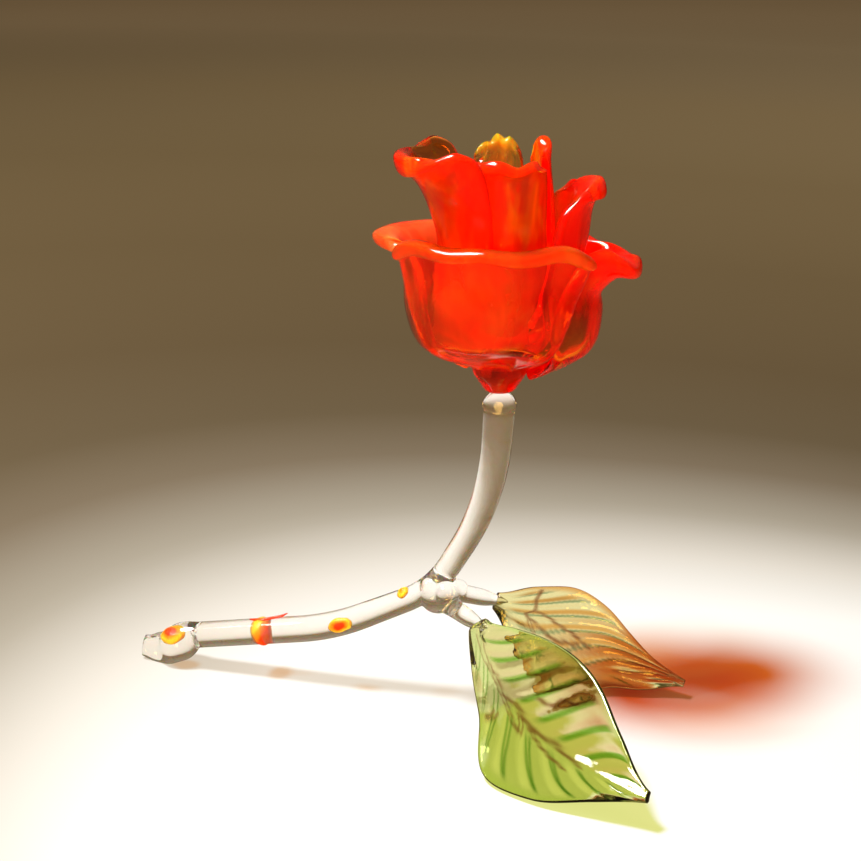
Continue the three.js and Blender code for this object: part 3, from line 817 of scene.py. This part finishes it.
# Veins, creases and midrib, as depths and as zones across the leaf or from vein to vein, with painted
# shade in the creases and painted highlight stripes beside them
VEIN_DEPTH = 0.35
VEIN_AT = 0.5
CREASE_DEPTH = 0.02
CREASE_WIDTH = (0.03, 0.1)
PAINTED_HIGHLIGHT_AT = 0.2
PAINTED_HIGHLIGHT_WIDTH = (0.08, 0.24)
MIDRIB_HEIGHT = 0.09
MIDRIB_WIDTH = (0, 0.12)
PRESSED_FROM_RIB = (0.04, 0.18)
PRESSED_FROM_STALK = (0.04, 0.12)
PRESSED_TO_TIP = (0.9, 0.98)
PRESSED_TO_MARGIN = (0.76, 0.9)
MARGIN_ZONE = (0.8, 0.95)

LIME_TINT = Vector((0.6, 0.72, 0.24, 1))
# Painted shade: darker along the creases
PAINTED_CREASE_SHADE = Vector((0.13, 0.3, 0.03, 1))
# Painted highlight: lighter stripes beside the creases
PAINTED_HIGHLIGHT_TINT = Vector((0.85, 0.9, 0.46, 1))
THREAD_TINT = Vector((0.28, 0.13, 0.05, 1))

# Brown hairs caught in the glass, as places across and along the leaf
THREADS = {
    "leaf_front": [
        [
            (0.02, 0.06), (-0.05, 0.16), (0.03, 0.24), (-0.04, 0.33),
            (0.05, 0.4), (-0.02, 0.5), (0.03, 0.62), (-0.03, 0.74),
        ],
        [(-0.04, 0.33), (-0.16, 0.4), (-0.2, 0.45), (-0.08, 0.46), (0.02, 0.44)],
        [(-0.02, 0.5), (-0.14, 0.57), (-0.22, 0.66)],
        [(0.3, 0.4), (0.36, 0.46), (0.5, 0.44), (0.58, 0.48)],
        [(-0.75, 0.24), (-0.55, 0.28), (-0.4, 0.3)],
    ],
    "leaf_rear": [
        [(0.85, 0.12), (0.5, 0.14), (0.2, 0.18), (-0.05, 0.16), (-0.3, 0.2)],
        [(0.2, 0.18), (0.1, 0.3), (0.02, 0.42), (-0.08, 0.5)],
        [(-0.05, 0.16), (-0.2, 0.3), (-0.1, 0.44)],
    ],
}
THREAD_SPAN = (9, 42)
THREAD_EDGE = (0.1, 0.36)


def thread_place(u, v):
    return Vector((THREAD_SPAN[0] * u, THREAD_SPAN[1] * v))


# How much of a hair lies at a place on the leaf
def thread_at(name, u, v):
    here = thread_place(u, v)
    nearest = max(THREAD_SPAN)
    for line in THREADS[name]:
        points = [thread_place(*point) for point in line]
        for start, end in zip(points, points[1:]):
            share = min(max((here - start).dot(end - start) / (end - start).length_squared, 0), 1)
            nearest = min(nearest, (here - start.lerp(end, share)).length)
    return 1 - smooth_step(nearest, *THREAD_EDGE)


# Each leaf's run from the stalk to the tip, its half widths on either side, and its tints; the line tint
# is painted shade along the veins, and on the rear leaf the band and margin are the flower's red shadow,
# painted in as seen through the leaf
LEAVES = {
    "leaf_front": dict(
        glass=FRONT_GREEN, stalk="front", length=46.5, width=25,
        heading=-40, leave=(-69, -23), arrive=(-18, 0), tip=6, tilt=49.8, cup=0.06,
        near=[0.16, 0.26, 0.45, 0.86, 0.69, 0.32, 0.06],
        far=[0.16, 0.63, 0.93, 1.04, 0.91, 0.54, 0.08],
        thinning=(0.6, 0.5), rib=0, sweep=0.2, veins=9, painted_shade_width=0.17,
        plain=Vector((0.66, 0.73, 0.32, 1)), between=Vector((0.75, 0.71, 0.34, 1)),
        band=Vector((0.78, 0.68, 0.36, 1)), line=Vector((0.22, 0.43, 0.05, 1)), margin=LIME_TINT,
    ),
    "leaf_rear": dict(
        glass=REAR_GREEN, stalk="rear", length=32.8, width=22,
        heading=12, leave=(28, -28), arrive=(-2, -14), tip=3, tilt=64.8, cup=0.04,
        near=[0.15, 0.6, 1.01, 0.97, 0.54, 0.33, 0.06],
        far=[0.13, 0.45, 0.69, 0.65, 0.41, 0.18, 0.05],
        thinning=(0.8, 0.2), rib=-0.55, sweep=0.5, veins=5.6, painted_shade_width=0.11,
        # Painted shadow: the orange-brown band and margin stand for the flower's red shadow seen through
        # the leaf
        plain=Vector((0.74, 0.7, 0.38, 1)), between=Vector((0.8, 0.74, 0.4, 1)),
        band=Vector((0.7, 0.4, 0.11, 1)), line=Vector((0.26, 0.34, 0.16, 1)),
        margin=Vector((0.7, 0.42, 0.14, 1)),
    ),
}


# Away from its middle the leaf is swept forward
def swept(u, v):
    return v + FORWARD_SWEEP * abs(u) * v * (1 - v)


def leaf_point(leaf, u, v):
    start = STALKS[leaf["stalk"]][1] + KNOT_CENTRE
    tip = start + direction(leaf["heading"], 0) * leaf["length"]
    tip.z = leaf["tip"]
    reach = (tip - start).length / 3
    leave = start + direction(*leaf["leave"]) * reach
    arrive = tip - direction(*leaf["arrive"]) * reach

    def rib(share):
        return bezier(start, leave, arrive, tip, share)

    share = swept(u, v)
    along = heading_at(rib, share, RIB_NUDGE)
    aside = direction(leaf["heading"] + 90, leaf["tilt"])
    side = (aside - along * aside.dot(along)).normalized()
    half = through(leaf["near"] if u < 0 else leaf["far"], share) * leaf["width"] / 2
    return rib(share) + side * (half * u) + along.cross(side) * (leaf["cup"] * half * u * u)


# A leaf is mashed flat between ridged plates: a midrib, veins that sweep forward and a smooth margin
def leaf_sheet(name, leaf):
    bm = bmesh.new()
    columns, rows = LEAF_GRID
    bmesh.ops.create_grid(bm, x_segments=columns, y_segments=rows, size=1)
    tint = bm.verts.layers.float_color.new("tint")
    shares = []
    for vert in bm.verts:
        u, v = vert.co.x, (vert.co.y + 1) / 2
        aside = abs(u - leaf["rib"])
        far = u > leaf["rib"]
        phase = leaf["veins"] * (swept(u, v) - leaf["sweep"] * aside)
        groove = VEIN_DEPTH * (0.5 - 0.5 * cos(2 * pi * phase))
        from_vein = abs(phase % 1 - VEIN_AT)
        line = 1 - smooth_step(from_vein, leaf["painted_shade_width"] / 2, leaf["painted_shade_width"])
        crease = 1 - smooth_step(from_vein, *CREASE_WIDTH)
        beside = 1 - smooth_step(abs(phase % 1 - PAINTED_HIGHLIGHT_AT), *PAINTED_HIGHLIGHT_WIDTH)
        inland = 1 - smooth_step(abs(u), *PRESSED_TO_MARGIN)
        ends = smooth_step(v, *PRESSED_FROM_STALK) * (1 - smooth_step(v, *PRESSED_TO_TIP))
        pressed = inland * ends * smooth_step(aside, *PRESSED_FROM_RIB)
        depth = (groove if far else CREASE_DEPTH * crease) * pressed
        depth -= MIDRIB_HEIGHT * (1 - smooth_step(aside, *MIDRIB_WIDTH)) * ends
        if far:
            shade = leaf["between"].lerp(leaf["band"], beside * pressed)
            # Far half: painted shade, dark lines along the bottoms of the vein grooves
            shade = shade.lerp(leaf["line"], line * pressed)
        else:
            # Near half: painted highlight stripes beside the creases, then painted shade in them
            shade = leaf["plain"].lerp(PAINTED_HIGHLIGHT_TINT, beside * pressed)
            # Painted shade along the creases
            shade = shade.lerp(PAINTED_CREASE_SHADE, crease * pressed)
        shade = shade.lerp(leaf["margin"], smooth_step(abs(u), *MARGIN_ZONE))
        vert[tint] = shade.lerp(THREAD_TINT, thread_at(name, u, v))
        thinning, start = leaf["thinning"] if u < 0 else FAR_THINNING
        slim = mix(1, TIP_SLIMMING, v) * (1 - FAR_SLIMMING * smooth_step(u, *FAR_SLIMMING_ZONE))
        slim *= 1 - thinning * max(abs(u) - start, 0) / (1 - start)
        shares.append((LEAF_THICKNESS - depth) * slim / LEAF_FULLEST)
        vert.co = hand_worked(leaf_point(leaf, u, v), *LEAF_UNEVENNESS)
    made = piece(name + "_blade", bm, leaf["glass"], "green_glass", name)
    thicken(made, LEAF_FULLEST, shares)
    soften(made, 1)
    settle(made)
    stand(made)


for name, leaf in LEAVES.items():
    leaf_sheet(name, leaf)


# Colour spots

# Spots on the rod: share along it, angle round it, how deep they sink, size and redness
SPOTS = {
    "colour_spot_middle": (0.345, 85, -0.45, (4.6, 2.6, 1.7), 1),
    "colour_spot_knee": (0.505, 30, -0.35, (2.4, 2, 1.5), 0.4),
}
SPOT_UNEVENNESS = (0.25, 1.6)
FOOT_SPOT_SIZE = (5, 3.6, 2.4)
FOOT_SPOT_CENTRE = (ROD_START.x - 0.36 * FOOT_LENGTH, -0.26 * FOOT_WIDTH, FOOT_HEIGHT - 0.5)
FOOT_SPOT_PITCH = -15
FOOT_SPOT_ROLL = 30

BAND_AT = 0.155
BAND_LENGTH = 3.8
BAND_DIAMETER = ROD_DIAMETER + 0.3
BAND_UNEVENNESS = (0.2, 2)
BAND_THREAD_ENDS = (-2, 5.2)
BAND_THREAD_RADIUS = 0.32
BAND_THREAD_STEPS = 24
BAND_THREAD_CURL = 0.5
BAND_THREAD_REDNESS = 0.7


# How near each point lies to the red heart of the colour
def hearted(bm, verts, heart):
    layer = bm.verts.layers.float["heart"]
    for vert in verts:
        vert[layer] = heart(vert.co)


def spot(name, size, place, redness):
    bm = bmesh.new()
    bm.verts.layers.float.new("heart")
    verts = ellipsoid(bm, size, place)
    inward = place.inverted()
    across = Vector((2 / size[0], 2 / size[1], 0))
    hearted(bm, verts, lambda co: redness * (1 - (inward @ co * across).length))
    for vert in verts:
        vert.co = hand_worked(vert.co, *SPOT_UNEVENNESS)
    piece(name.replace("colour_spot_", "") + "_spot", bm, FRIT, "frit", name)


for name, (share, angle, lift, size, redness) in SPOTS.items():
    spot(name, size, on_rod(share, angle, rod_radius(share) + lift), redness)
FOOT_SPOT_PLACE = (
    Matrix.Translation(FOOT_SPOT_CENTRE)
    @ Matrix.Rotation(radians(FOOT_SPOT_PITCH), 4, "Y")
    @ Matrix.Rotation(radians(FOOT_SPOT_ROLL), 4, "X")
)
spot("colour_spot_foot", FOOT_SPOT_SIZE, FOOT_SPOT_PLACE, 1)


# The thread of colour along the top of the rod, which curls up at its end
def band_thread_rings():
    for n in range(BAND_THREAD_STEPS + 1):
        share = n / BAND_THREAD_STEPS
        at = BAND_AT + mix(*BAND_THREAD_ENDS, share) / ROD_LENGTH
        curl = BAND_THREAD_CURL * smooth_step(share, 0.75, 1)
        centre, along = rod_at(at)
        out = out_from_rod(at, 12 * sin(5 * share))
        radius = BAND_THREAD_RADIUS * through([0.5, 1, 0.9, 1, 0.3], share)
        yield centre + out * (rod_radius(at) + curl), along.cross(out), radius, out, radius


# The band is a smear of colour round the rod, yellow above and red below
def colour_band():
    bm = bmesh.new()
    bm.verts.layers.float.new("heart")
    place = on_rod(BAND_AT, 0, 0)
    inward = place.inverted()
    verts = ellipsoid(bm, (BAND_LENGTH, BAND_DIAMETER, BAND_DIAMETER), place)
    hearted(bm, verts, lambda co: 0.4 + 0.2 * (inward @ co).x - 0.16 * (inward @ co).z)
    for vert in verts:
        vert.co = hand_worked(vert.co, *BAND_UNEVENNESS)
    smear = set(bm.verts)
    tube(bm, list(band_thread_rings()), 10)
    hearted(bm, [vert for vert in bm.verts if vert not in smear], lambda co: BAND_THREAD_REDNESS)
    bmesh.ops.recalc_face_normals(bm, faces=bm.faces)
    piece("band", bm, FRIT, "frit", "colour_band")


colour_band()


# Studio, in metres

PAPER_RADIUS = 4
PAPER_FRONT = -0.3
NO_LIMIT = -9

# Painted light on the paper: a pale oval pool of painted light that the rose stands on, painted shade
# round it, and paler again far off to make up for the lamp's falloff
PAINTED_LIGHT_POOL_CENTRE = (0.17, -0.08, 0)
PAINTED_LIGHT_POOL_STRETCH = (1.55, 1, 1)
PAINTED_LIGHT_POOL_TURN = -38.7
PAINTED_LIGHT_PAPER_TONES = [
    (0.11, (0.9, 0.9, 0.89)),
    (0.13, (0.68, 0.65, 0.6)),
    (0.15, (0.37, 0.335, 0.275)),
    (0.175, (0.2, 0.158, 0.108)),
    (0.2, (0.142, 0.105, 0.06)),
    (0.25, (0.148, 0.104, 0.054)),
    (0.35, (0.212, 0.149, 0.074)),
    (0.5, (0.36, 0.257, 0.129)),
    (0.7, (0.64, 0.47, 0.25)),
    (1, (1, 0.78, 0.48)),
]
PAINTED_BACKDROP_GLOW = [(0.25, (0, 0, 0)), (0.37, (0.042, 0.028, 0.016)), (0.8, (0.15, 0.108, 0.06))]
PAINTED_DARK_REFLECTION = (0.12, 0.09, 0.05, 1)


def paper():
    material = bpy.data.materials.new("table paper")
    material.use_nodes = True
    tree = material.node_tree
    surface = tree.nodes["Principled BSDF"]
    surface.inputs["Roughness"].default_value = 0.6
    surface.inputs["Specular IOR Level"].default_value = 0
    place = node(tree, "ShaderNodeTexCoord")

    # In front of the painted pool of light the paper keeps one tone
    front = reckoning(tree, "ShaderNodeVectorMath", "MAXIMUM")
    front.inputs[1].default_value = (NO_LIMIT, PAPER_FRONT, NO_LIMIT)
    around = node(tree, "ShaderNodeMapping", Location=PAINTED_LIGHT_POOL_CENTRE, Scale=PAINTED_LIGHT_POOL_STRETCH)
    around.vector_type = "TEXTURE"
    around.inputs["Rotation"].default_value.z = radians(PAINTED_LIGHT_POOL_TURN)
    away = reckoning(tree, "ShaderNodeVectorMath", "LENGTH")
    # The paper's colour is painted light and shade, set by the distance from the rose
    painted_paper_tones = ramp_of(tree, PAINTED_LIGHT_PAPER_TONES, "LINEAR")
    tree.links.new(place.outputs["Object"], front.inputs[0])
    tree.links.new(front.outputs[0], around.inputs["Vector"])
    tree.links.new(around.outputs[0], away.inputs[0])
    tree.links.new(away.outputs["Value"], painted_paper_tones.inputs[0])
    tree.links.new(painted_paper_tones.outputs[0], surface.inputs["Base Color"])

    # Far off the paper glows with painted light, an emission that stands in for a lit backdrop
    far_off = reckoning(tree, "ShaderNodeVectorMath", "LENGTH")
    outwards = reckoning(tree, "ShaderNodeMath", "MULTIPLY")
    outwards.inputs[1].default_value = 1 / PAPER_RADIUS
    painted_glow = ramp_of(tree, PAINTED_BACKDROP_GLOW)
    tree.links.new(place.outputs["Object"], far_off.inputs[0])
    tree.links.new(far_off.outputs["Value"], outwards.inputs[0])
    tree.links.new(outwards.outputs[0], painted_glow.inputs[0])
    tree.links.new(painted_glow.outputs[0], surface.inputs["Emission Color"])
    surface.inputs["Emission Strength"].default_value = 1

    # Painted reflection: in the glass the paper shows as a dark stand-in colour instead of the lit paper
    painted_reflection = node(tree, "ShaderNodeBsdfDiffuse", Color=PAINTED_DARK_REFLECTION)
    path = node(tree, "ShaderNodeLightPath")
    mirrored = reckoning(tree, "ShaderNodeMath", "MULTIPLY")
    either = node(tree, "ShaderNodeMixShader")
    tree.links.new(path.outputs["Is Reflection Ray"], mirrored.inputs[0])
    tree.links.new(path.outputs["Is Glossy Ray"], mirrored.inputs[1])
    tree.links.new(mirrored.outputs[0], either.inputs[0])
    tree.links.new(surface.outputs[0], either.inputs[1])
    tree.links.new(painted_reflection.outputs[0], either.inputs[2])
    tree.links.new(either.outputs[0], tree.nodes["Material Output"].inputs["Surface"])
    return material


def table():
    bm = bmesh.new()
    bmesh.ops.create_circle(bm, cap_ends=True, segments=96, radius=PAPER_RADIUS)
    mesh = bpy.data.meshes.new("table")
    bm.to_mesh(mesh)
    bm.free()
    mesh.materials.append(paper())
    floor = bpy.data.objects.new("table", mesh)
    scene.collection.objects.link(floor)


table()

KEY = dict(
    place=(-0.133, -0.165, 0.638), aim=(0.06, 0, 0.04), size=0.13, power=6.6, colour=(1, 0.97, 0.92),
)
FILL = dict(
    place=(0.3, -0.75, 0.14), aim=(0.06, 0, 0.06), size=0.35, power=6.6, colour=(1, 0.6, 0.16),
)


def lamp(name, place, aim, size, power, colour):
    data = bpy.data.lights.new(name, "AREA")
    data.shape = "DISK"
    data.size = size
    data.energy = power
    data.color = colour
    made = bpy.data.objects.new(name, data)
    scene.collection.objects.link(made)
    made.location = place
    made.rotation_euler = (Vector(aim) - Vector(place)).to_track_quat("-Z", "Y").to_euler()
    return made


lamp("key", **KEY)

# A warm fill that lights the rose alone
fill = lamp("fill", **FILL)
fill.visible_glossy = False
fill.light_linking.receiver_collection = ROSE

DOME_TONES = [(0.12, (0.16, 0.115, 0.065)), (0.75, (0.4, 0.35, 0.28))]
ROOM_LIGHT = (1, 0.7, 0.3, 1)
ROOM_STRENGTH = 0.05
# Painted highlight: a bright patch in the world that only reflections see
PAINTED_SOFT_BOX_TOWARDS = Vector((-0.39, -0.24, 0.89)).normalized()
PAINTED_SOFT_BOX_TONES = [(0.953, (0.003, 0.0024, 0.0015)), (0.977, (1, 0.97, 0.93))]
PAINTED_SOFT_BOX_STRENGTH = 40


def room():
    world = bpy.data.worlds.new("room")
    scene.world = world
    world.use_nodes = True
    world.cycles.sampling_method = "NONE"
    tree = world.node_tree

    # A dome that is paler overhead
    seen = tree.nodes["Background"]
    place = node(tree, "ShaderNodeTexCoord")
    parts = node(tree, "ShaderNodeSeparateXYZ")
    dome = ramp_of(tree, DOME_TONES, "LINEAR")
    tree.links.new(place.outputs["Generated"], parts.inputs[0])
    tree.links.new(parts.outputs["Z"], dome.inputs[0])
    tree.links.new(dome.outputs[0], seen.inputs["Color"])
    lit = node(tree, "ShaderNodeBackground", Color=ROOM_LIGHT, Strength=ROOM_STRENGTH)

    # Painted highlights: a bright soft-box patch overhead that only reflections see and that lights
    # nothing
    towards = reckoning(tree, "ShaderNodeVectorMath", "DOT_PRODUCT")
    towards.inputs[1].default_value = PAINTED_SOFT_BOX_TOWARDS
    painted_box_patch = ramp_of(tree, PAINTED_SOFT_BOX_TONES)
    painted_box = node(tree, "ShaderNodeBackground", Strength=PAINTED_SOFT_BOX_STRENGTH)
    tree.links.new(place.outputs["Generated"], towards.inputs[0])
    tree.links.new(towards.outputs["Value"], painted_box_patch.inputs[0])
    tree.links.new(painted_box_patch.outputs[0], painted_box.inputs["Color"])

    path = node(tree, "ShaderNodeLightPath")
    mirrored = node(tree, "ShaderNodeMixShader")
    scattered = node(tree, "ShaderNodeMixShader")
    tree.links.new(path.outputs["Is Reflection Ray"], mirrored.inputs[0])
    tree.links.new(seen.outputs[0], mirrored.inputs[1])
    tree.links.new(painted_box.outputs[0], mirrored.inputs[2])
    tree.links.new(path.outputs["Is Diffuse Ray"], scattered.inputs[0])
    tree.links.new(mirrored.outputs[0], scattered.inputs[1])
    tree.links.new(lit.outputs[0], scattered.inputs[2])
    tree.links.new(scattered.outputs[0], tree.nodes["World Output"].inputs["Surface"])


room()

scene.view_settings.view_transform = "Standard"

# Light passes through many walls of glass
scene.cycles.max_bounces = 24
scene.cycles.transmission_bounces = 24
scene.cycles.transparent_max_bounces = 32
scene.cycles.caustics_reflective = False
scene.cycles.caustics_refractive = False
